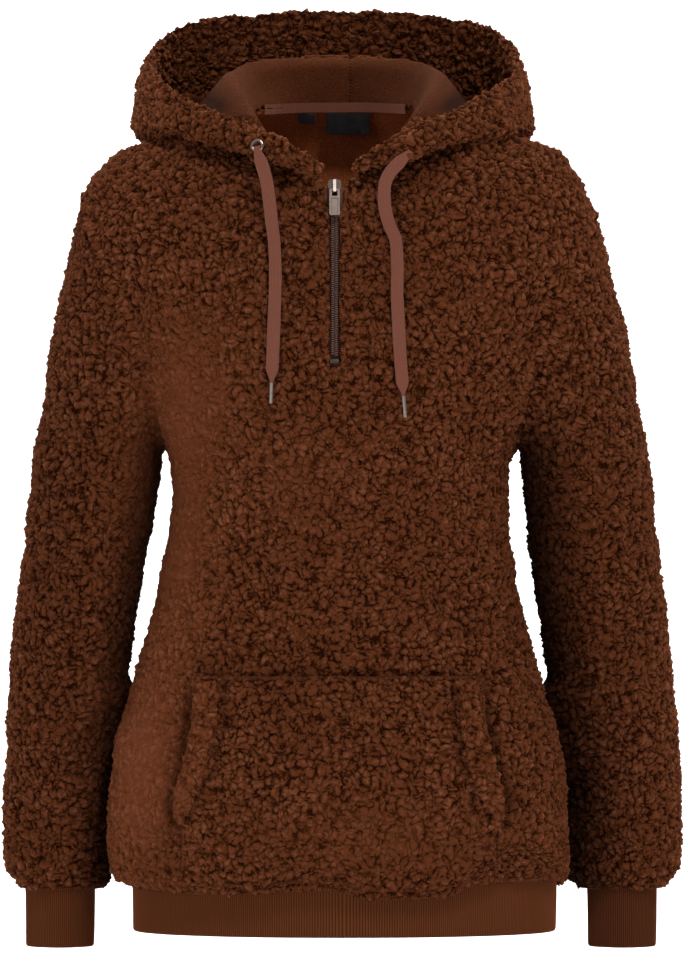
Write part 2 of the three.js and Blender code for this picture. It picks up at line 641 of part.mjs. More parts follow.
// Eyelets in the hood's hem, each a rolled ring turned to lie on the fleece
function eyelet([x, y, z], normal) {
  const g = new THREE.TorusGeometry(4.7, 1.2, 6, 18);
  const turn = new THREE.Quaternion().setFromUnitVectors(
    new THREE.Vector3(0, 0, 1), new THREE.Vector3(...unit3(normal)),
  );
  g.applyQuaternion(turn);
  g.translate(x, y, z);
  return fromGeometry(g);
}
add('eyelet_left', eyelet([-72.5, -116, -46], [-0.34, -1, 0.23]), nickel);
add('eyelet_right', eyelet([60, -117.4, -50], [0.37, -1, -0.14]), nickel);

// Flat drawcords: route points from the eyelet down the chest, then the metal tip
const cordLeft = [
  [-72.7, -121, -46.5], [-71.4, -121.2, -53], [-68, -121.2, -63], [-64.3, -119.6, -76],
  [-62.2, -117.8, -90], [-60, -116.4, -110], [-57.6, -116.6, -130], [-56.6, -118, -158],
  [-57.4, -119.4, -189],
  [-58.6, -119.8, -220], [-59.8, -118.6, -250],
];
const cordRight = [
  [60, -121.8, -50.5], [55, -122, -56], [49, -122, -62], [42, -120.6, -70], [37.8, -118.4, -80],
  [37.8, -116.4, -98], [41.6, -115.8, -114], [47, -116.6, -127], [48.6, -118, -150],
  [48.4, -119.6, -173], [49.6, -120.4, -200], [50.8, -120.4, -222.5], [52.4, -119.8, -244],
  [54, -118.8, -261.4],
];
const aglets = [
  ['aglet_left', [-59.8, -118.5, -250.4], [-60.4, -117.4, -268.4]],
  ['aglet_right', [54, -118.7, -261.8], [55.4, -117.6, -280.7]],
];
const CORD_WIDTH = 11;
const CORD_THICK = 2.2;
const AGLET_RADIUS = 1.7;
const cordSection = [
  [0.5, 0.2], [0.44, 0.5], [-0.44, 0.5], [-0.5, 0.2], [-0.5, -0.2], [-0.44, -0.5], [0.44, -0.5], [0.5, -0.2],
];
function cordBody(route) {
  const count = 20;
  const at = (i) => curveAt(route, i / (count - 1));
  const length = route.slice(1).reduce((sum, p, k) => sum + Math.hypot(...sub3(p, route[k])), 0);
  const rings = Array.from({ length: count }, (_, i) => {
    const along = unit3(sub3(at(Math.min(i + 1, count - 1)), at(Math.max(i - 1, 0))));
    const across = unit3(cross3([0, 1, 0], along));
    const out = unit3(cross3(along, across));
    const s = (i / (count - 1)) * length;
    const gather = Math.min(smooth(s / 16) * 0.5 + 0.5, smooth((length - s) / 12) * 0.68 + 0.32);
    const width = CORD_WIDTH * gather;
    const thick = CORD_THICK * (1 + 0.5 * (1 - gather));
    return cordSection.map(([u, v]) => add3(add3(at(i), across, u * width), out, v * thick));
  });
  return loft(rings);
}
add('drawcord_left', cordBody(cordLeft), cordCloth);
add('drawcord_right', cordBody(cordRight), cordCloth);
for (const [name, from, to] of aglets) {
  const axis = unit3(sub3(to, from));
  const side = unit3(cross3(axis, [1, 0, 0]));
  const up = cross3(axis, side);
  const ring = (p, r) =>
    Array.from({ length: 10 }, (_, i) => {
      const t = (i / 10) * Math.PI * 2;
      return add3(add3(p, side, r * Math.cos(t)), up, r * Math.sin(t));
    });
  const near = add3(to, axis, -0.8);
  add(name, loft([ring(from, AGLET_RADIUS), ring(near, AGLET_RADIUS), ring(to, AGLET_RADIUS - 0.6)]), nickel);
}

export default group;
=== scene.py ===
import math

import bmesh
import bpy
import numpy as np
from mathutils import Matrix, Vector, kdtree
from mathutils.bvhtree import BVHTree


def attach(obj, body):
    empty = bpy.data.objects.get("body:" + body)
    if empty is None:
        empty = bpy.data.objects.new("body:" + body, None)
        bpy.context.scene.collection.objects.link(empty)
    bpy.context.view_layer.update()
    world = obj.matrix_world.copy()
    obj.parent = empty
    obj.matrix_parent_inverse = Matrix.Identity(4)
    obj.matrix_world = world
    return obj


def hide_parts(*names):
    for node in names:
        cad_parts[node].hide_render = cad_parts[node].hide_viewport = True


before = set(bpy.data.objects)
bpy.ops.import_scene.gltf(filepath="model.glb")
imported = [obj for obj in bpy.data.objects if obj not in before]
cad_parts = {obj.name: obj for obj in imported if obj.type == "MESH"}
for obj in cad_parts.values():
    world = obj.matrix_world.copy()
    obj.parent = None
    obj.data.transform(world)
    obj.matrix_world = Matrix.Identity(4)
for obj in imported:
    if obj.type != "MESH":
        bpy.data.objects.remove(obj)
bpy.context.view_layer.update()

# Sherpa fleece half-zip pullover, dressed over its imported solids. Metres, +Z up, front at -Y.
MM = 0.001
TAU = math.tau
scene = bpy.context.scene


def add_object(name, mesh):
    obj = bpy.data.objects.new(name, mesh)
    scene.collection.objects.link(obj)
    return obj


# Camera first, level with the garment's middle as the photograph is
CAMERA_FAR = 6.0
FRAME_HIGH = 962 * 0.88 * MM
camera = bpy.data.cameras.new("camera")
camera.sensor_fit = "VERTICAL"
camera.sensor_height = 36
camera.lens = 36 * CAMERA_FAR / FRAME_HIGH
camera.clip_end = 60
camera_object = add_object("camera", camera)
camera_object.location = (2.2 * MM, -CAMERA_FAR, -335.3 * MM)
camera_object.rotation_euler = (math.pi / 2, 0, 0)
scene.camera = camera_object


# Shader maths as plain expressions
class Value:
    """One socket of a node tree, with the arithmetic that the finishes use."""

    def __init__(self, tree, socket):
        self.tree = tree
        self.socket = socket

    def node(self, kind, settings=None, out=0, **inputs):
        made = self.tree.nodes.new(kind)
        for key, value in (settings or {}).items():
            setattr(made, key, value)
        for key, value in inputs.items():
            where = int(key[1:]) if key[0] == "i" and key[1:].isdigit() else key.replace("_", " ")
            target = made.inputs[where]
            if isinstance(value, Value):
                self.tree.links.new(value.socket, target)
            else:
                target.default_value = value
        return Value(self.tree, made.outputs[out] if len(made.outputs) else None)

    def math(self, operation, other=0.0, clamp=False):
        return self.node("ShaderNodeMath", {"operation": operation, "use_clamp": clamp}, i0=self, i1=other)

    def __add__(self, other):
        return self.math("ADD", other)

    def __mul__(self, other):
        return self.math("MULTIPLY", other)

    def __sub__(self, other):
        return self.math("SUBTRACT", other)

    def __rsub__(self, other):
        return self.node("ShaderNodeMath", {"operation": "SUBTRACT"}, i0=other, i1=self)

    def __pow__(self, other):
        return self.math("POWER", other)

    __radd__ = __add__
    __rmul__ = __mul__

    def fit(self, low, high, to_low=0.0, to_high=1.0):
        return self.node(
            "ShaderNodeMapRange", {"interpolation_type": "SMOOTHSTEP"},
            i0=self, i1=low, i2=high, i3=to_low, i4=to_high,
        )

    def mixed(self, first, second):
        """A colour between two, where this value is the share of the second."""
        as_colour = lambda c: c if isinstance(c, Value) else (*c, 1.0)
        return self.node(
            "ShaderNodeMix", {"data_type": "RGBA"}, out=2,
            i0=self, i6=as_colour(first), i7=as_colour(second),
        )

    def moved(self, other):
        """This vector plus another."""
        return self.node("ShaderNodeVectorMath", {"operation": "ADD"}, i0=self, i1=other)

    def scaled(self, scale):
        """This vector stretched along each axis."""
        return self.node("ShaderNodeVectorMath", {"operation": "MULTIPLY"}, i0=self, i1=scale)

    def times(self, factor):
        """This colour made lighter or darker."""
        return self.node("ShaderNodeVectorMath", {"operation": "SCALE"}, i0=self, Scale=factor)

    def noise(self, size, detail=2.0, rough=0.5, colour=False):
        return self.node(
            "ShaderNodeTexNoise", out=1 if colour else 0,
            Vector=self, Scale=1 / size, Detail=detail, Roughness=rough,
        )

    def cells(self, size, feature="F1", out=0, random=1.0):
        return self.node(
            "ShaderNodeTexVoronoi", {"feature": feature}, out=out,
            Vector=self, Scale=1 / size, Randomness=random,
        )

    def split(self):
        parts = self.tree.nodes.new("ShaderNodeSeparateXYZ")
        self.tree.links.new(self.socket, parts.inputs[0])
        return [Value(self.tree, s) for s in parts.outputs]


def finish(name, paint, **fixed):
    """A material: paint(at, attribute) returns what varies, fixed sets the shader's own sockets."""
    material = bpy.data.materials.new(name)
    material.use_nodes = True
    tree = material.node_tree
    shader = tree.nodes["Principled BSDF"]
    for key, value in fixed.items():
        shader.inputs[key.replace("_", " ")].default_value = value
    start = Value(tree, None)
    at = start.node("ShaderNodeTexCoord", out=3)

    def attribute(label, kind="float"):
        out = {"float": 2, "vector": 1}[kind]
        return start.node("ShaderNodeAttribute", {"attribute_name": label}, out=out)

    for key, value in paint(at, attribute).items():
        if key == "bump":
            height, distance, strength = value
            value = start.node(
                "ShaderNodeBump", Height=height, Distance=distance, Strength=strength
            )
            key = "Normal"
        tree.links.new(value.socket, shader.inputs[key.replace("_", " ")])
    return material


# Colours as linear light
def srgb(r, g, b):
    return tuple((c / 255 / 12.92) if c <= 10 else ((c / 255 + 0.055) / 1.055) ** 2.4 for c in (r, g, b))


# The pile's crevice colour is painted shade and its tip colour a painted highlight; the middle colour is the
# fleece's own.
PILE_CREVICE_SHADE = srgb(40, 13, 2)
PILE_MID = srgb(102, 54, 30)
PILE_TIP_HIGHLIGHT = srgb(134, 80, 54)
KNIT_BROWN = srgb(112, 60, 34)
KNIT_DEEP = srgb(66, 30, 12)
CLUMP = 6.2 * MM
CURL = 3.0 * MM


def about(vector, size):
    """A noise's colour as a move of at most about a third of that size."""
    return vector.moved((-0.5, -0.5, -0.5)).scaled((size, size, size))


def pile_field(at):
    """Height of the curled clumps and each clump's own colour, the same for form and finish."""
    drift = about(at.noise(17 * MM, 2.0, 0.5, colour=True), 15 * MM)
    kink = about(at.noise(2.6 * MM, 1.0, 0.5, colour=True), 2.6 * MM)
    curled = at.moved(drift).moved(kink)
    merge = at.noise(7 * MM, 1.0, 0.5) * 0.4 - 0.2
    dome = curled.cells(CLUMP, "F1").fit(0.74, 0.04)
    crease = (curled.cells(CLUMP, "DISTANCE_TO_EDGE") + merge).fit(-0.05, 0.16)
    small = (curled.cells(CURL, "F1") - merge * 0.5).fit(0.72, 0.08)
    own = curled.cells(CLUMP, "F1", out=1)
    height = dome * 0.45 + crease * 0.2 + small * 0.35
    return height, own


def paint_fleece(at, attribute):
    rest = attribute("rest", "vector")
    pile = attribute("pile")
    calm = attribute("calm")
    shade = attribute("shade")
    field, own = pile_field(rest)
    strand = rest.noise(1.3 * MM, 2.0, 0.65)
    fibre = rest.noise(0.55 * MM, 1.0, 0.6)
    patch = rest.noise(70 * MM, 2.0, 0.5)
    tone = own.split()[0]
    height = field * (1 - calm) + (field * 0.2 + 0.52) * calm + (strand - 0.5) * 0.42
    # Painted shade deep in the crevices between clumps and a painted highlight on the clump tops, mixed with
    # each clump's own tone and random patches.
    low = height.fit(0.04, 0.5).mixed(PILE_CREVICE_SHADE, PILE_MID)
    top = (height + tone * 0.12 + patch * 0.5 + fibre * 0.2 - 0.41).fit(0.45, 1.05).mixed(low, PILE_TIP_HIGHLIGHT)
    across, _, up = rest.split()
    wales = (across * (TAU / (2.9 * MM))).math("SINE")
    dots = wales * (up * (TAU / (2.9 * MM))).math("SINE") * 0.5 + 0.5
    loops = rest.scaled((1.0, 1.0, 0.7)).noise(1.4 * MM, 2.0, 0.7)
    knit = (loops * 0.8 + dots * 0.16 + patch * 0.3 - 0.13).fit(0.2, 0.85).mixed(KNIT_DEEP, KNIT_BROWN)
    colour = pile.mixed(knit, top)
    colour = colour.times(shade)
    relief = (height * 1.5 + fibre * 0.3) * pile + (loops * 0.5 + dots * 0.2) * (1 - pile)
    return {"Base_Color": colour, "bump": (relief, 2.6 * MM, 0.85)}


fleece_finish = finish(
    "sherpa_fleece", paint_fleece, Roughness=0.95, Sheen_Weight=0.06, Sheen_Roughness=0.5,
    Sheen_Tint=(*srgb(200, 130, 90), 1), Specular_IOR_Level=0.03,
)


def paint_rib(at, attribute):
    along = attribute("wale")
    wale = (along * TAU).math("COSINE") * 0.5 + 0.5
    x, y, z = at.split()
    course = (z * (TAU / (0.9 * MM)) + along * math.pi).math("SINE") * 0.5 + 0.5
    fuzz = at.noise(0.8 * MM, 2.0, 0.6)
    shade = (wale * 0.55 + course * 0.15 + fuzz * 0.4).fit(0.1, 0.95)
    # The tone attribute multiplies in painted shade.
    return {
        "Base_Color": shade.mixed(srgb(66, 32, 15), srgb(108, 59, 33)).times(attribute("tone")),
        "bump": (wale * 0.6 + course * 0.3 + fuzz * 0.3, 0.5 * MM, 0.6),
    }


rib_finish = finish(
    "fine_rib", paint_rib, Roughness=0.9, Sheen_Weight=0.08, Sheen_Roughness=0.5,
    Sheen_Tint=(*srgb(200, 130, 90), 1), Specular_IOR_Level=0.05,
)


def paint_cord(at, attribute):
    across, along, _ = attribute("weave", "vector").split()
    chevron = across.math("ABSOLUTE") * 0.9
    rows = ((along + chevron) * (TAU / 1.5)).math("SINE") * 0.5 + 0.5
    wales = (across * (TAU / 1.25)).math("COSINE") * 0.5 + 0.5
    fuzz = at.noise(0.5 * MM, 2.0, 0.6)
    shade = (rows * 0.4 + wales * 0.3 + fuzz * 0.4).fit(0.1, 1.0)
    return {
        "Base_Color": shade.mixed(srgb(94, 50, 38), srgb(136, 85, 68)),
        "bump": (rows * 0.7 + wales * 0.5 + fuzz * 0.2, 0.3 * MM, 0.6),
    }


cord_finish = finish("woven_cord", paint_cord, Roughness=0.85, Sheen_Weight=0.08, Specular_IOR_Level=0.12)


def paint_tape(dark, light):
    def paint(at, attribute):
        x, y, z = at.split()
        twill = ((x + z) * (TAU / (0.9 * MM))).math("SINE") * 0.5 + 0.5
        fuzz = at.noise(0.6 * MM, 2.0, 0.5)
        return {
            "Base_Color": (twill * 0.4 + fuzz * 0.6).mixed(dark, light),
            "bump": (twill + fuzz * 0.4, 0.2 * MM, 0.5),
        }
    return paint


tape_finish = finish(
    "woven_tape", paint_tape(srgb(96, 56, 42), srgb(134, 86, 68)), Roughness=0.85, Specular_IOR_Level=0.2,
)
neck_tape_finish = finish(
    "neck_tape", paint_tape(srgb(90, 48, 34), srgb(126, 78, 60)), Roughness=0.9, Specular_IOR_Level=0.1,
)


def paint_satin(at, attribute):
    x, y, z = at.split()
    weft = (z * (TAU / (0.35 * MM))).math("SINE") * 0.5 + 0.5
    soft = at.noise(7 * MM, 1.0, 0.5)
    # The lighter patches of soft are a painted sheen where the label curls; its roughness and bump follow the
    # same noise.
    return {
        "Base_Color": soft.mixed(srgb(12, 11, 12), srgb(34, 33, 35)),
        "Roughness": soft.fit(0.2, 0.8, 0.3, 0.5),
        "bump": (weft * 0.4 + soft * 2.0, 0.1 * MM, 0.3),
    }


satin_finish = finish("bare_satin", paint_satin, Specular_IOR_Level=0.5)


def paint_metal(dark, light):
    def paint(at, attribute):
        brushed = at.scaled((1.0, 1.0, 0.08)).noise(0.25 * MM, 2.0, 0.6)
        worn = at.noise(3 * MM, 2.0, 0.5)
        return {
            "Base_Color": (worn * 0.7 + brushed * 0.3).mixed(dark, light),
            "Roughness": (brushed * 0.6 + worn * 0.4).fit(0.2, 0.8, 0.26, 0.44),
            "bump": (brushed, 0.03 * MM, 0.25),
        }
    return paint


gunmetal_finish = finish("gunmetal", paint_metal(srgb(84, 73, 67), srgb(122, 108, 100)), Metallic=1.0)
# A darker copy of the metal for the slider is painted shade, and a lighter copy for its bridge is a painted
# highlight.
slider_shaded_finish = finish("slider_painted_shade", paint_metal(srgb(50, 42, 38), srgb(86, 75, 68)), Metallic=1.0)
bridge_highlight_finish = finish("bridge_painted_highlight", paint_metal(srgb(150, 135, 126), srgb(196, 180, 170)), Metallic=1.0)
nickel_finish = finish("nickel", paint_metal(srgb(128, 116, 108), srgb(176, 164, 156)), Metallic=1.0)


def paint_coil(at, attribute):
    wear = at.noise(1.2 * MM, 2.0, 0.6)
    return {
        "Base_Color": wear.mixed(srgb(70, 44, 36), srgb(120, 84, 72)),
        "Roughness": wear.fit(0.2, 0.8, 0.35, 0.55),
    }


# The chain under the teeth is near black: painted shadow in the gaps between the teeth.
def paint_coil_shadow(at, attribute):
    wear = at.noise(1.2 * MM, 2.0, 0.6)
    return {"Base_Color": wear.mixed(srgb(22, 12, 9), srgb(48, 28, 21))}


coil_finish = finish("zip_coil", paint_coil, Specular_IOR_Level=0.4)
coil_shadow_finish = finish("zip_coil_painted_shadow", paint_coil_shadow, Roughness=0.8, Specular_IOR_Level=0.1)


# Route points of the drawcords, as in the solids
CORD_WIDTH = 11 * MM
CORD_THICK = 2.2 * MM
CORDS = {
    "drawcord_left": [
        (-72.7, -121, -46.5), (-71.4, -121.2, -53), (-68, -121.2, -63), (-64.3, -119.6, -76),
        (-62.2, -117.8, -90), (-60, -116.4, -110), (-57.6, -116.6, -130), (-56.6, -118, -158),
        (-57.4, -119.4, -189), (-58.6, -119.8, -220), (-59.8, -118.6, -250),
    ],
    "drawcord_right": [
        (60, -121.8, -50.5), (55, -122, -56), (49, -122, -62), (42, -120.6, -70),
        (37.8, -118.4, -80), (37.8, -116.4, -98), (41.6, -115.8, -114), (47, -116.6, -127),
        (48.6, -118, -150), (48.4, -119.6, -173), (49.6, -120.4, -200), (50.8, -120.4, -222.5),
        (52.4, -119.8, -244), (54, -118.8, -261.4),
    ],
}


def curve_at(points, t):
    """Smooth curve through rows of points, at t = 0 to 1."""
    points = np.asarray(points, float)
    last = len(points) - 1
    padded = np.vstack([2 * points[:1] - points[1:2], points, 2 * points[-1:] - points[-2:-1]])
    s = np.clip(np.atleast_1d(t), 0, 1) * last
    i = np.minimum(s.astype(int), last - 1)
    f = (s - i)[:, None]
    a, b, c, d = padded[i], padded[i + 1], padded[i + 2], padded[i + 3]
    m0, m1, h = (c - a) / 2, (d - b) / 2, c - b
    return b + f * (m0 + f * (3 * h - 2 * m0 - m1 + f * (m0 + m1 - 2 * h)))


def smooth(v):
    t = np.clip(v, 0.0, 1.0)
    return t * t * (3 - 2 * t)


def unit(v):
    return v / np.maximum(np.linalg.norm(v, axis=-1, keepdims=True), 1e-12)


def mesh_from(name, points, faces):
    mesh = bpy.data.meshes.new(name)
    mesh.from_pydata([tuple(p) for p in points], [], [tuple(int(i) for i in f) for f in faces])
    mesh.update()
    return mesh


def store(mesh, label, values):
    """Keeps one number or vector per point on the mesh, for the finishes."""
    values = np.asarray(values, np.float32)
    kind = "FLOAT" if values.ndim == 1 else "FLOAT_VECTOR"
    layer = mesh.attributes.new(label, kind, "POINT")
    layer.data.foreach_set("value" if values.ndim == 1 else "vector", values.ravel())


def tube_faces(rings, around, closed_ends=True):
    faces = []
    for r in range(rings - 1):
        for i in range(around):
            j = (i + 1) % around
            faces.append((r * around + i, r * around + j, (r + 1) * around + j, (r + 1) * around + i))
    if closed_ends:
        faces.append(tuple(reversed(range(around))))
        faces.append(tuple((rings - 1) * around + i for i in range(around)))
    return faces


def face_outwards(mesh):
    bm = bmesh.new()
    bm.from_mesh(mesh)
    bmesh.ops.recalc_face_normals(bm, faces=bm.faces)
    bm.to_mesh(mesh)
    bm.free()
    mesh.update()


def round_shade(mesh):
    mesh.polygons.foreach_set("use_smooth", np.ones(len(mesh.polygons), bool))


def build_cord(name):
    route = np.array(CORDS[name]) * MM
    count = 150
    centres = curve_at(route, np.linspace(0, 1, count))
    along = unit(np.gradient(centres, axis=0))
    across = unit(np.cross([0.0, 1.0, 0.0], along))
    out = unit(np.cross(along, across))
    steps = np.linalg.norm(np.diff(centres, axis=0), axis=1)
    s = np.concatenate([[0], np.cumsum(steps)])
    length = s[-1]
    gather = np.minimum(smooth(s / (16 * MM)) * 0.5 + 0.5, smooth((length - s) / (12 * MM)) * 0.68 + 0.32)
    wander = 1 + 0.025 * np.sin(s / 0.021) + 0.015 * np.sin(s / 0.0083 + 1)
    width = CORD_WIDTH * gather * wander / 2
    thick = CORD_THICK * (1 + 0.5 * (1 - gather)) / 2
    sides = 20
    turn = np.arange(sides) / sides * TAU
    u = np.sign(np.cos(turn)) * np.abs(np.cos(turn)) ** 0.55
    v = np.sign(np.sin(turn)) * np.abs(np.sin(turn)) ** 0.75
    ribbed = 1 - 0.10 * (np.cos(u * TAU * 2) * 0.5 + 0.5) * (np.abs(v) > 0.5)
    points = (
        centres[:, None]
        + across[:, None] * (u[None, :] * width[:, None])[..., None]
        + out[:, None] * ((v * ribbed)[None, :] * thick[:, None])[..., None]
    )
    mesh = mesh_from(name + "_woven", points.reshape(-1, 3), tube_faces(count, sides))
    weave = np.stack(
        [
            (u[None, :] * width[:, None] / MM), np.repeat(s[:, None] / MM, sides, 1),
            np.zeros((count, sides)),
        ], -1,
    )
    store(mesh, "weave", weave.reshape(-1, 3))
    face_outwards(mesh)
    round_shade(mesh)
    mesh.materials.append(cord_finish)
    obj = add_object(name + "_woven", mesh)
    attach(obj, "garment")
    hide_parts(name)
    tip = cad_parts["aglet_" + name.split("_")[1]]
    return obj


for cord_name in CORDS:
    build_cord(cord_name)


# Fleece: a copy of each solid in even small faces, raised into curled clumps
def merged_copy(nodes, name):
    """The solids' own faces, joined at their corners."""
    mesh = bpy.data.meshes.new(name)
    bm = bmesh.new()
    for node in nodes:
        bm.from_mesh(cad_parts[node].data)
    bmesh.ops.remove_doubles(bm, verts=bm.verts, dist=2e-5)
    bm.to_mesh(mesh)
    bm.free()
    return mesh


def modified(mesh, name, kind, **settings):
    """The mesh after one modifier, as a plain mesh."""
    obj = add_object(name, mesh)
    modifier = obj.modifiers.new(kind.lower(), kind)
    for key, value in settings.items():
        setattr(modifier, key, value)
    bpy.context.view_layer.update()
    result = bpy.data.meshes.new_from_object(obj.evaluated_get(bpy.context.evaluated_depsgraph_get()))
    bpy.data.objects.remove(obj)
    return result


def points_of(mesh):
    co = np.empty(len(mesh.vertices) * 3, np.float32)
    mesh.vertices.foreach_get("co", co)
    return co.reshape(-1, 3).astype(float)


def normals_of(mesh):
    no = np.empty(len(mesh.vertices) * 3, np.float32)
    mesh.vertices.foreach_get("normal", no)
    return no.reshape(-1, 3).astype(float)


def set_points(mesh, co):
    mesh.vertices.foreach_set("co", co.astype(np.float32).ravel())
    mesh.update()


def relax(mesh, rounds):
    """Evens out the steps of the remesh without shrinking the form."""
    edges = np.empty(len(mesh.edges) * 2, np.int32)
    mesh.edges.foreach_get("vertices", edges)
    a, b = edges.reshape(-1, 2).T
    co = points_of(mesh)
    near = np.maximum(np.bincount(np.concatenate([a, b]), minlength=len(co)), 1)[:, None]
    for k in range(rounds * 2):
        total = np.stack(
            [
                np.bincount(a, co[b, c], len(co)) + np.bincount(b, co[a, c], len(co))
                for c in range(3)
            ], -1,
        )
        co += (0.55 if k % 2 == 0 else -0.57) * (total / near - co)
    set_points(mesh, co)


def split_faces(mesh, wanted):
    """Divides the wanted faces in four."""
    bm = bmesh.new()
    bm.from_mesh(mesh)
    bm.faces.ensure_lookup_table()
    edges = {e for i in np.nonzero(wanted)[0] for e in bm.faces[i].edges}
    bmesh.ops.subdivide_edges(bm, edges=list(edges), cuts=1, use_grid_fill=True)
    bm.to_mesh(mesh)
    bm.free()
    mesh.update()


def with_fields(mesh, name, make):
    """The mesh with fields worked out at its points and kept on them by name."""
    tree = bpy.data.node_groups.new(name, "GeometryNodeTree")
    for way in ("INPUT", "OUTPUT"):
        tree.interface.new_socket("Geometry", in_out=way, socket_type="NodeSocketGeometry")
    start = Value(tree, None)
    flow = start.node("NodeGroupInput")
    for label, (kind, field) in make(start.node("GeometryNodeInputPosition")).items():
        flow = start.node(
            "GeometryNodeStoreNamedAttribute", {"data_type": kind, "domain": "POINT"},
            Geometry=flow, Name=label, Value=field,
        )
    tree.links.new(flow.socket, tree.nodes.new("NodeGroupOutput").inputs[0])
    return modified(mesh, name, "NODES", node_group=tree)


def kept(mesh, label, wide=1):
    values = np.empty(len(mesh.vertices) * wide, np.float32)
    mesh.attributes[label].data.foreach_get("value" if wide == 1 else "vector", values)
    return values.astype(float).reshape((-1, wide)) if wide > 1 else values.astype(float)


def seam_ways(others, p):
    """For points within a seam's reach of another piece: the way to it and how near it is."""
    way = np.zeros_like(p)
    near = np.zeros(len(p))
    for other in others:
        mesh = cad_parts[other].data
        tree = BVHTree.FromPolygons([v.co[:] for v in mesh.vertices], [f.vertices[:] for f in mesh.polygons])
        for i, point in enumerate(p):
            found, _, _, far = tree.find_nearest(point, SEAM_REACH)
            if found is not None and 1 - far / SEAM_REACH > near[i]:
                near[i] = 1 - far / SEAM_REACH
                way[i] = np.array(found) - point
    return unit(way), near


SEAM_REACH = 6 * MM
VOXEL = 4.0 * MM
PILE_DEEP = 5.6 * MM
PILE_OVER = 1.3 * MM


def clump_fields(at):
    height, own = pile_field(at)
    return {"height": ("FLOAT", height), "own": ("FLOAT_VECTOR", own), "rest": ("FLOAT_VECTOR", at)}


def raise_pile(mesh, beside, pile, calm, lift, still):
    """Moves the outer skin into clumps with dark gaps between. calm is 0 full to 1 brushed flat."""
    p = points_of(mesh)
    n = normals_of(mesh)
    height = kept(mesh, "height")
    own = kept(mesh, "own", 3)
    way, near = seam_ways(beside, p)
    across = (n * way).sum(1)
    held = smooth(near * 1.6)
    n_free = n - way * (across * held)[:, None]
    depth = PILE_DEEP * (1 - 0.6 * calm) * (1 - height) - PILE_OVER * (0.4 + own[:, 1]) - lift
    lean = unit(own - 0.5)
    lean = (lean - n * (lean * n).sum(1, keepdims=True)) * (1.5 * MM * height)[:, None]
    moved = (lean * (1 - held)[:, None] - n_free * depth[:, None]) * pile[:, None]
    moved += way * (smooth(across * 1.6) * held * 2.4 * MM)[:, None]
    moved[:, 0] *= 1 - still
    store(mesh, "pile", pile)
    store(mesh, "calm", calm)
    set_points(mesh, p + moved)


# Which way is out, for each kind of piece
def out_of_torso(p):
    axis = np.stack([p[:, 0] * 0.25, np.zeros(len(p)), np.minimum(p[:, 2], -130 * MM)], -1)
    return unit((p - axis) * (1, 1.6, 1))


ARM_LINE = np.array([
    (-150, 8, -175), (-191, 8, -188), (-206, 12, -262), (-220.5, 18, -352), (-235, 25, -462),
    (-251, 43, -563), (-255, 58, -650), (-251, 58, -700),
]) * MM
# Inner edge of the sleeves, height and distance from the middle
ARM_INNER = np.array([
    (290, 155), (330, 158), (388, 168), (425, 174), (470, 181), (520, 190), (563, 203), (610, 208),
    (650, 208), (700, 210),
], float)


def sleeve_gloom(side):
    """How deep a sleeve's inner side lies in the body's shade."""
    nearer, reach = (0, 42) if side < 0 else (9, 74)

    def gloom(p):
        x, z = np.abs(p[:, 0]) / MM, p[:, 2] / MM
        away = x - np.interp(-z, *ARM_INNER.T) + nearer * smooth((-300 - z) / 200)
        return 0.86 * (1 - smooth((away + 4) / reach)) * smooth((-262 - z) / 60)

    return gloom


def sleeve_close(side):
    """Moves a sleeve's inner side up to the body at the height where no gap shows beside it."""
    reach, end_z = (6.5, -740) if side < 0 else (8.5, -612)

    def move(p):
        x, z = np.abs(p[:, 0]) / MM, p[:, 2] / MM
        near = 1 - smooth((x - np.interp(-z, *ARM_INNER.T)) / 40)
        band = smooth((-502 - z) / 22) * smooth((z - end_z) / 50)
        shift = -side * reach * near * band * MM
        return np.stack([shift, shift * 0, shift * 0], -1)

    return move


def out_of_sleeve(side):
    line = curve_at(ARM_LINE * (-side, 1, 1), np.linspace(0, 1, 120))

    def out(p):
        nearest = np.argmin(((p[:, None, ::2] - line[None, :, ::2]) ** 2).sum(-1), 1)
        return unit(p - line[nearest])

    return out


def out_of_front(p):
    return np.tile([0.0, -1.0, 0.0], (len(p), 1))


HOOD_ROWS = [
    [(11, -103, -75), (11, -106, -71), (11.5, -109, -69), (12.5, -112.5, -68), (13, -111.5, -61)],
    [(22, -99, -70), (24, -102, -63), (25, -108, -62), (28, -114, -63), (28, -112, -48)],
    [(42, -91, -57), (45, -95, -49), (50, -104, -53), (56, -112, -57), (54, -107, -34)],
    [(62, -70, -38), (67, -74, -26), (77, -84, -36), (92, -96, -45), (88, -90, -18)],
    [(74, -40, -18), (81, -43, -4), (98, -53, -22), (130, -68, -37), (118, -66, -4)],
    [(77, -8, -7), (89, -10, 11), (113, -18, -12), (164, -30, -33), (144, -31, 11)],
    [(74, 20, -2), (92, 22, 23), (126, 32, -13), (179, 36, -27), (164, 20, 31)],
    [(60, 46, 0), (86, 54, 31), (122, 96, -56), (170, 108, -30), (156, 82, 61)],
    [(34, 62, 1), (56, 76, 36), (74, 124, -106), (112, 160, -72), (114, 126, 83)],
    [(0, 68, 1), (0, 84, 39), (0, 132, -122), (0, 182, -88), (0, 150, 91)],
]
ZIP_X = -5.5
HEM_DEPTH = 74 * MM


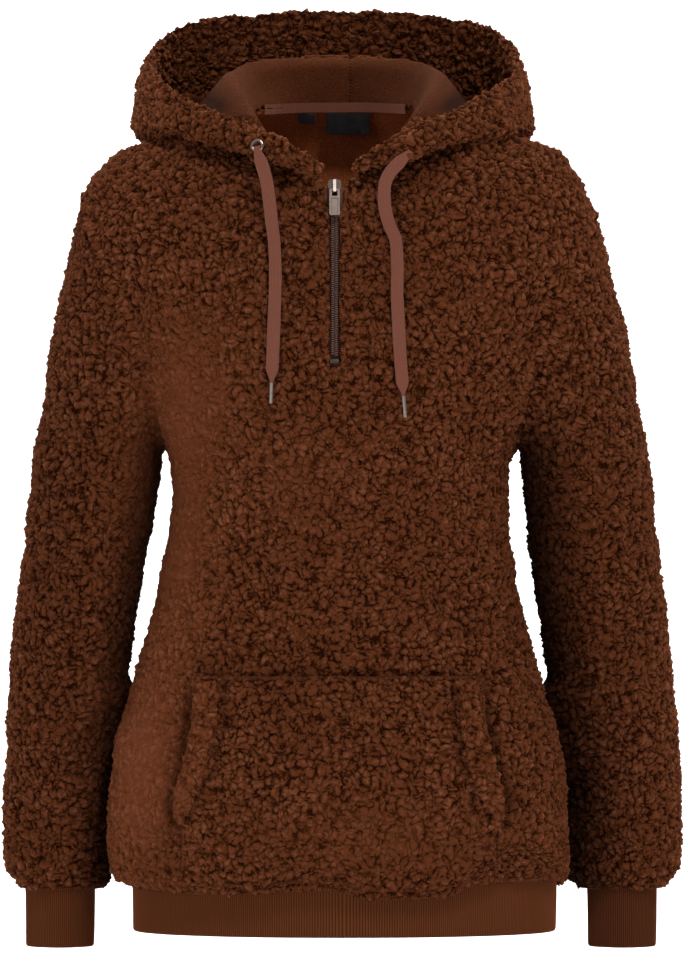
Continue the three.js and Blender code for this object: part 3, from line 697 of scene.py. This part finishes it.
def hood_middle():
    """Points along the middle of the hood's wall, with their outward side and way to the rim."""
    rows = np.array(HOOD_ROWS, float)
    full = np.concatenate([rows[:-1] * (-1, 1, 1), rows[::-1]])
    x = full[..., 0] * np.where(full[..., 0] > 0, 0.97, 1.0)
    full[..., 0] = x + ZIP_X * np.where(full[..., 1] < -60, 1, 0.8)
    stations = np.stack([curve_at(full[:, c], np.linspace(0, 1, 181)) for c in range(5)], 1)
    grid = np.stack([curve_at(s, np.linspace(0, 1, 61)) for s in stations]) * MM
    du = np.gradient(grid, axis=0)
    dv = np.gradient(grid, axis=1)
    n = unit(np.cross(dv, du))
    step = np.linalg.norm(np.diff(grid, axis=1), axis=2)
    to_rim = np.concatenate([np.cumsum(step[:, ::-1], 1)[:, ::-1], np.zeros((len(grid), 1))], 1)
    return grid.reshape(-1, 3), n.reshape(-1, 3), to_rim.ravel()


hood_points, hood_out, hood_rim = hood_middle()
hood_tree = kdtree.KDTree(len(hood_points))
for index, point in enumerate(hood_points):
    hood_tree.insert(point, index)
hood_tree.balance()


def hood_gloom(p):
    """How deep a point lies in the fold between the neck's wall and the hood's roll, and how much shade is
    painted there.
    """
    found = np.array([hood_tree.find(q)[1] for q in p])
    inside = ((p - hood_points[found]) * hood_out[found]).sum(1) < 0
    share = (found % 61) / 60
    deep = smooth((share - 0.34) / 0.1) * smooth((0.96 - share) / 0.3)
    return 0.75 * deep * inside * smooth((p[:, 1] / MM + 70) / 40)


def hood_pile(p, n):
    """Fleece outside, and on both sides within the turned hem."""
    found = np.array([hood_tree.find(q)[1] for q in p])
    facing = ((p - hood_points[found]) * hood_out[found]).sum(1) / (2 * MM)
    hem = smooth((HEM_DEPTH - hood_rim[found]) / (3 * MM))
    return np.maximum(smooth(facing * 0.5 + 0.5), hem)


def facing_pile(out):
    return lambda p, n: smooth(((n * out(p)).sum(1) + 0.35) / 0.6)


def spots(p, rows):
    """Soft round spots over the front view: middle x and z, half sizes and strength, in mm."""
    total = np.zeros(len(p))
    for x, z, wide, high, gain in rows:
        u = (p[:, 0] / MM - x) / wide
        v = (p[:, 2] / MM - z) / high
        total += gain * np.exp(-(u * u + v * v)) * (p[:, 1] < 60 * MM)
    return total


# Where the pile is brushed flat, where a highlight is painted on the brushed nap, and where shade is painted
# on the pile
BRUSHED = [
    (-150, -360, 34, 130, 0.85), (-178, -585, 40, 90, 0.8), (-120, -250, 40, 60, 0.35),
    (40, -640, 120, 36, 0.3), (-40, -330, 60, 50, 0.25),
]
PAINTED_HIGHLIGHT_SPOTS = [(-150, -380, 40, 150, 0.16), (-178, -600, 40, 100, 0.16)]
PAINTED_SHADE_SPOTS = [(-262, -340, 34, 180, 0.1), (265, -330, 30, 200, 0.1), (0, 68, 170, 16, 0.25)]
POCKET_EDGE = np.array([
    (-503, 127), (-512, 127), (-538, 127), (-563, 132), (-584, 137), (-606, 144), (-625, 144),
    (-641, 136), (-660, 137), (-684, 139),
], float)


def pocket_gap(p):
    """How deep the pile lies just outside the pocket's mouths and above its top seam, and how much shade is
    painted there.
    """
    z = p[:, 2] / MM
    x = np.abs(p[:, 0] / MM + 2)
    edge = np.interp(-z, -POCKET_EDGE[:, 0], POCKET_EDGE[:, 1]) + 1.6 * np.sin(z / 9) + np.sin(z / 4.1)
    beside = smooth((x - edge + 4) / 4) * smooth((edge + 12 - x) / 9)
    mouth = smooth((-506 - z) / 14) * smooth((z + 646) / 16)
    above = smooth((z + 506) / 4) * smooth((-497 - z) / 5) * (x < 128)
    return (p[:, 1] < 0) * np.maximum(beside * mouth, above * 0.2)


HEM_WAVE = np.array([
    (-205, 2.5), (-165, 0), (-142, -2), (-106, -2), (-71, 0), (-36, 2), (-10, 2.5), (3, 1), (17, -4.5),
    (52, -5.5), (78, -4.5), (96, -1), (113, 6.5), (140, 8.5), (175, 8), (195, 5),
], float)


def hem_wave(p):
    """The uneven lower edge of the pile over the ribbed band."""
    low = smooth((-648 - p[:, 2] / MM) / 34) * (p[:, 1] < 0)
    rise = np.interp(p[:, 0] / MM, *HEM_WAVE.T) * low * MM
    return np.stack([rise * 0, rise * 0, rise], -1)


def pocket_seam(p):
    """How deep the pocket's pile lies along the seams inside its welts and under its top edge, and how much
    shade is painted there.
    """
    z = p[:, 2] / MM
    x = np.abs(p[:, 0] / MM + 2)
    line = np.interp(-z, -POCKET_EDGE[:, 0], POCKET_EDGE[:, 1]) - 28 + 1.2 * np.sin(z / 7)
    inner = np.exp(-(((x - line) / 3.2) ** 2)) * smooth((-500 - z) / 12) * smooth((z + 640) / 20)
    top = smooth((z + 510) / 6) * (x < 128)
    return np.maximum(inner * 0.5, top * 0.15)


MOST_TRIANGLES = 196000


def thinned(mesh, name):
    """The mesh with its flattest faces joined, where it has too many triangles."""
    count = sum(len(f.vertices) - 2 for f in mesh.polygons)
    if count <= MOST_TRIANGLES:
        return mesh
    return modified(mesh, name, "DECIMATE", ratio=MOST_TRIANGLES / count)


def fleece_piece(
    nodes, pile_of, beside=(), knit_painted_light=0.75, base=1.0, calm=0.0, lift=None, cut=None,
    gap=None, gloom=None, hem=None,
):
    """One fleece panel of the garment, in place of its solids."""
    name = ("back" if "back_yoke" in nodes else nodes[0]) + "_fleece"
    mesh = modified(merged_copy(nodes, name), name, "REMESH", mode="VOXEL", voxel_size=VOXEL)
    relax(mesh, 4)
    pile = pile_of(points_of(mesh), normals_of(mesh))
    outer = np.array([pile[list(f.vertices)].max() for f in mesh.polygons])
    split_faces(mesh, outer > 0.3)
    relax(mesh, 1)
    if cut:
        mesh = modified(mesh, name, "BOOLEAN", operation="DIFFERENCE", solver="FAST", object=cut)
        bpy.data.objects.remove(cut)
    mesh = with_fields(mesh, name, clump_fields)
    p = points_of(mesh)
    pile = pile_of(p, normals_of(mesh))
    if hem:
        set_points(mesh, p + hem(p))
    hollow = gap(p) if gap else np.zeros(len(p))
    raised = (lift(p) if lift else np.zeros(len(p))) - hollow * 4.5 * MM
    still = by_zip(p) if cut else np.zeros(len(p))
    raised += ripple(p) * pile
    brushed = spots(p, BRUSHED) * smooth((40 - p[:, 1] / MM) / 30)
    raise_pile(mesh, beside, pile, np.clip(calm + brushed, 0, 0.9), raised, still)
    # Painted light and shade in the pile: the highlight spots lighten it, while the shade spots and the
    # pocket's hollows darken it with painted shade.
    tone = base + spots(p, PAINTED_HIGHLIGHT_SPOTS) - spots(p, PAINTED_SHADE_SPOTS) - 0.5 * hollow
    # Painted light and shade: the knit side's factor lights the inside of the back and shades the hood
    # linings, and gloom darkens the folds and sleeves with painted shade.
    shade = np.clip(tone, 0.2, 1.3) * pile + knit_painted_light * (1 - pile)
    store(mesh, "shade", shade * (1 - gloom(p)) if gloom else shade)
    mesh = thinned(mesh, name)
    round_shade(mesh)
    mesh.materials.clear()
    mesh.materials.append(fleece_finish)
    obj = add_object(name, mesh)
    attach(obj, "garment")
    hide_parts(*nodes)
    return obj


def zip_cutter():
    """A prism for the zip's slit, its sides as uneven as the pile beside a zip."""
    z = np.linspace(-236, -30, 120)
    half = np.interp(-z, [30, 83, 93, 103, 236], [8.5, 8.0, 6.6, 4.4, 4.2])
    ragged = 0.5 * np.sin(z / 2.3) + 0.35 * np.sin(z / 1.1 + 1) + 0.4 * np.sin(z / 6.1 + 2)
    left = ZIP_X - half + ragged
    right = ZIP_X + half + 0.8 * np.roll(ragged, 17)
    rows = [
        (x, y, up) for a, b, up in zip(left, right, z) for x, y in ((a, -180), (b, -180), (b, -40), (a, -40))
    ]
    mesh = mesh_from("slit", np.array(rows) * MM, tube_faces(len(z), 4))
    face_outwards(mesh)
    obj = add_object("slit", mesh)
    obj.hide_render = True
    return obj


def ripple(p):
    """Low soft waves of the hanging cloth under the pile."""
    x, y, z = (p / MM).T
    wave = np.sin(x / 19 + np.sin(z / 47) * 1.6 + 1) * np.sin(z / 31 + x / 60)
    return (1.3 * wave + 0.8 * np.sin(x / 9.5 - z / 14 + np.sin(z / 25) * 2)) * MM


def by_zip(p):
    """1 beside the zip, where the pile may not lean over the teeth."""
    away = np.abs(p[:, 0] / MM - ZIP_X)
    return smooth((13 - away) / 5) * (p[:, 2] > -240 * MM) * (p[:, 1] < 0)


HIDDEN_EYELET = np.array([60, -116, -49]) * MM
TUFT_HIGH = 9.5 * MM
TUFT_REACH = 10.5 * MM


def over_eyelet(p):
    """The tuft that hides the right eyelet."""
    away = np.linalg.norm(p - HIDDEN_EYELET, axis=1)
    return TUFT_HIGH * smooth(1.5 - away / TUFT_REACH)


torso_pile = facing_pile(out_of_torso)
BACK = ("back_left", "back_right", "back_yoke")
FRONT = ("front", "front_lower")
TORSO_BESIDE = ("sleeve_left", "sleeve_right", "hood_left", "hood_right")
fleece_piece(
    FRONT, torso_pile, (*BACK, *TORSO_BESIDE), 1.1, cut=zip_cutter(), gap=pocket_gap,
    hem=hem_wave,
)
# 4.6 paints light onto the inside of the back.
fleece_piece(BACK, torso_pile, (*FRONT, *TORSO_BESIDE), 4.6)
TORSO = (*FRONT, *BACK)
# The sleeves' tones below 1 are painted shade where the sleeves turn away behind the body.
for side, side_name, tone in ((-1, "left", 0.91), (1, "right", 0.95)):
    sleeve = "sleeve_" + side_name
    fleece_piece(
        [sleeve, sleeve + "_lower"], facing_pile(out_of_sleeve(side)), TORSO, base=tone,
        gloom=sleeve_gloom(side), hem=sleeve_close(side),
    )
# 0.62 and 0.52 paint shade onto the hood linings.
fleece_piece(["hood_left"], hood_pile, ("hood_right",), 0.62, gloom=hood_gloom)
fleece_piece(
    ["hood_right"], hood_pile, ("hood_left",), 0.52, lift=over_eyelet, gloom=hood_gloom,
)
fleece_piece(["pocket"], facing_pile(out_of_front), gap=pocket_seam, hem=hem_wave)
for side_name in ("left", "right"):
    fleece_piece(
        ["pocket_welt_" + side_name], facing_pile(out_of_front), base=1.02, calm=0.15,
        lift=lambda p: np.full(len(p), 1.2 * MM),
    )


# Ribbed hem band and cuffs with their wales as real ridges
def oval(turn, power):
    c, s = np.cos(turn), np.sin(turn)
    return np.sign(c) * np.abs(c) ** (2 / power), np.sign(s) * np.abs(s) ** (2 / power)


# Share of the height, and how far in the wall lies there in mm
RIB_OUTER = [
    (0.0, 0.6), (0.04, 0.1), *((k / 10, 0.0) for k in range(1, 10)), (0.965, 0.1), (0.99, 0.6), (1.0, 1.5),
]
RIB_INNER = [(0.01, 2.4), (0.04, 2.9), (0.5, 3.0), (0.96, 2.9), (1.0, 2.4)]


def rib_band(node, centre, half, front, back, top, bottom, power, wales, tone=1.0):
    """A closed ring of ribbed knit, its outside ridged once a wale."""
    name = node + "_rib"
    around = wales * 4
    turn = np.arange(around) / around * TAU
    u, v = oval(turn, power)
    wale = np.arange(around) / 4
    ridge = (np.cos(wale * TAU) * 0.5 + 0.5) * 0.5 * MM
    high = top - bottom
    outer = [(top - high * t, inset * MM) for t, inset in RIB_OUTER]
    inner = [(bottom + high * t, inset * MM) for t, inset in RIB_INNER]
    rings = []
    for index, (z, inset) in enumerate(outer + inner):
        t = (top - z) / high
        pull = inset + 1.0 * MM * t + 0.55 * MM
        lift = ridge if index < len(outer) else ridge * 0.3
        wave = 0.5 * MM * np.sin(turn * 5 + t * 2.0 + half * 40) * t
        reach_x = half - pull + lift + wave
        reach_y = np.where(v < 0, front, back) - pull + lift + wave
        rings.append(np.stack([centre[0] + u * reach_x, centre[1] + v * reach_y, np.full(around, z)], -1))
    points = np.concatenate(rings)
    count = len(rings)
    faces = tube_faces(count, around, closed_ends=False)
    faces += [
        ((count - 1) * around + i, (count - 1) * around + (i + 1) % around, (i + 1) % around, i)
        for i in range(around)
    ]
    mesh = mesh_from(name, points, faces)
    face_outwards(mesh)
    store(mesh, "wale", np.tile(wale, count))
    # tone is painted shade, lower on the cuffs, which hang in the sleeves' shade.
    store(mesh, "tone", np.full(len(points), tone))
    round_shade(mesh)
    mesh.materials.append(rib_finish)
    obj = add_object(name, mesh)
    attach(obj, "garment")
    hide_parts(node)
    return obj


rib_band(
    "hem_band", (3 * MM, 0), 187 * MM, 115 * MM, 112 * MM, -674 * MM, -730 * MM, 2.25, 560,
)
# The cuffs' tones are painted shade.
for side, side_name in ((-1, "left"), (1, "right")):
    rib_band(
        "cuff_" + side_name, (249.5 * side * MM, 58 * MM), 31.3 * MM, 33 * MM, 33 * MM, -686 * MM,
        -748 * MM, 2.1, 118, tone=0.84 if side < 0 else 0.66,
    )


# Small hard pieces keep their solids' shape, with softened edges and their own finishes
def trim_piece(node, name, material, body="garment", bevel=0.2 * MM):
    mesh = merged_copy([node], name)
    mesh = modified(
        mesh, name, "BEVEL", width=bevel, segments=2, limit_method="ANGLE",
        angle_limit=math.radians(35), use_clamp_overlap=True,
    )
    mesh.materials.clear()
    mesh.materials.append(material)
    obj = add_object(name, mesh)
    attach(obj, body)
    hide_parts(node)
    return obj


slider = trim_piece("zip_slider", "slider_finished", slider_shaded_finish, bevel=0.3 * MM)
slider.data.materials.append(bridge_highlight_finish)
# The bridge's faces take the painted highlight.
for face in slider.data.polygons:
    middle = face.center / MM
    if abs(middle.x - ZIP_X) < 1.4 and -0.936 * (middle.y + 105) + 0.351 * (middle.z + 80) > 1.0:
        face.material_index = 1
trim_piece("zip_pull", "pull_finished", gunmetal_finish, body="pull_tab")
trim_piece("zip_bottom_stop", "stop_finished", gunmetal_finish)
trim_piece("zip_tape_left", "zip_tape_left_woven", tape_finish)
trim_piece("zip_tape_right", "zip_tape_right_woven", tape_finish)
trim_piece("neck_tape", "neck_tape_woven", neck_tape_finish)
trim_piece("label_main", "label_main_satin", satin_finish)
trim_piece("label_size", "label_size_satin", satin_finish)
for node in ("eyelet_left", "eyelet_right", "aglet_left", "aglet_right"):
    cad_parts[node].data.materials.clear()
    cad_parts[node].data.materials.append(nickel_finish)
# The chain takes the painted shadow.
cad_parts["zip_coil"].data.materials.clear()
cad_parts["zip_coil"].data.materials.append(coil_shadow_finish)


# Interlocking coil teeth, one small form set along the chain
def set_along(name, points, turns, stamp, material):
    """A small form at every point, turned by its angles, made one plain mesh."""
    mesh = mesh_from(name, points, [])
    store(mesh, "turn", turns)
    one = add_object(name + "_one", stamp)
    tree = bpy.data.node_groups.new(name, "GeometryNodeTree")
    for way in ("INPUT", "OUTPUT"):
        tree.interface.new_socket("Geometry", in_out=way, socket_type="NodeSocketGeometry")
    start = Value(tree, None)
    turn = start.node("GeometryNodeInputNamedAttribute", {"data_type": "FLOAT_VECTOR"}, Name="turn")
    copies = start.node(
        "GeometryNodeInstanceOnPoints", Points=start.node("NodeGroupInput"), Rotation=turn,
        Instance=start.node("GeometryNodeObjectInfo", out="Geometry", Object=one),
    )
    plain = start.node("GeometryNodeRealizeInstances", Geometry=copies)
    finished = start.node("GeometryNodeSetMaterial", Geometry=plain, Material=material)
    tree.links.new(finished.socket, tree.nodes.new("NodeGroupOutput").inputs[0])
    made = modified(mesh, name, "NODES", node_group=tree)
    bpy.data.objects.remove(one)
    return made


def coil_tooth():
    """A short rounded bar, its end turned down as a coil's loop is."""
    bm = bmesh.new()
    bmesh.ops.create_uvsphere(bm, u_segments=10, v_segments=7, radius=0.5)
    for v in bm.verts:
        x = math.copysign(abs(v.co.x * 2) ** 0.6, v.co.x)
        v.co = Vector((x * 1.85, v.co.y * 1.5 + max(0.0, abs(x) - 0.7) * 0.9, v.co.z * 1.2)) * MM
    mesh = bpy.data.meshes.new("coil_tooth")
    bm.to_mesh(mesh)
    bm.free()
    round_shade(mesh)
    return mesh


TEETH_TOP = -90.6
TEETH_BOTTOM = -229.1
TEETH_PITCH = 1.9


def build_teeth():
    """Both rows of teeth, set on the chain's front where a ray from the front meets it."""
    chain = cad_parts["zip_coil"].data
    tree = BVHTree.FromPolygons([v.co[:] for v in chain.vertices], [f.vertices[:] for f in chain.polygons])
    points, turns = [], []
    for k in range(int((TEETH_TOP - TEETH_BOTTOM) / TEETH_PITCH)):
        for side in (-1, 1):
            z = (TEETH_TOP - (k + (0.5 if side > 0 else 0)) * TEETH_PITCH) * MM
            hit, normal, _, _ = tree.ray_cast(Vector(((ZIP_X + side * 1.7) * MM, -0.3, z)), Vector((0, 1, 0)))
            if hit is None:
                continue
            points.append(hit)
            turns.append((math.atan2(-normal.z, -normal.y), 0, side * 0.12))
    obj = add_object("zip_teeth", set_along("zip_teeth", points, turns, coil_tooth(), coil_finish))
    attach(obj, "garment")


build_teeth()


# Pale floor that turns up into a backdrop, and soft light
def paint_stage(at, attribute):
    """Near white, and clear from behind, so that views from the back aren't blocked."""
    soft = at.noise(0.8, 1.0, 0.4)
    behind = at.node("ShaderNodeNewGeometry", out=6)
    return {"Base_Color": soft.mixed((0.93, 0.93, 0.93), (0.96, 0.96, 0.96)), "Alpha": 1 - behind}


stage_finish = finish("stage", paint_stage, Roughness=0.9)


def build_stage():
    """A floor that ends in a quarter round and a wall, as one sheet."""
    half, back, round_by, high, floor = 9.0, 2.2, 1.2, 8.0, -0.80
    profile = [(-half, 0.0), (back, 0.0)]
    profile += [
        (back + round_by * math.sin(a), round_by - round_by * math.cos(a))
        for a in np.linspace(0.1, math.pi / 2, 12)
    ]
    profile += [(back + round_by, high)]
    points = [(x, y, floor + z) for y, z in profile for x in (-half, half)]
    faces = [(2 * i, 2 * i + 1, 2 * i + 3, 2 * i + 2) for i in range(len(profile) - 1)]
    mesh = mesh_from("stage", points, faces)
    round_shade(mesh)
    mesh.materials.append(stage_finish)
    add_object("stage", mesh)


build_stage()


def area_light(name, at, aim, size, power):
    light = bpy.data.lights.new(name, "AREA")
    light.shape = "DISK"
    light.size = size
    light.energy = power
    obj = add_object(name, light)
    obj.location = at
    obj.rotation_euler = (Vector(aim) - Vector(at)).to_track_quat("-Z", "Y").to_euler()


area_light("key", (0.9, -2.6, 2.9), (0, 0, -0.35), 0.9, 75.5)
area_light("fill", (-2.2, -3.0, 0.2), (0, 0, -0.4), 2.4, 12)
area_light("backdrop_left", (-2.5, 1.4, 3.2), (0, 3.4, 0), 2.0, 190)
area_light("backdrop_right", (2.5, 1.4, 3.2), (0, 3.4, 0), 2.0, 190)
world = bpy.data.worlds.new("soft_room")
scene.world = world
world.use_nodes = True
world.node_tree.nodes["Background"].inputs[0].default_value = (1, 1, 1, 1)
world.node_tree.nodes["Background"].inputs[1].default_value = 0.24
scene.view_settings.view_transform = "Standard"
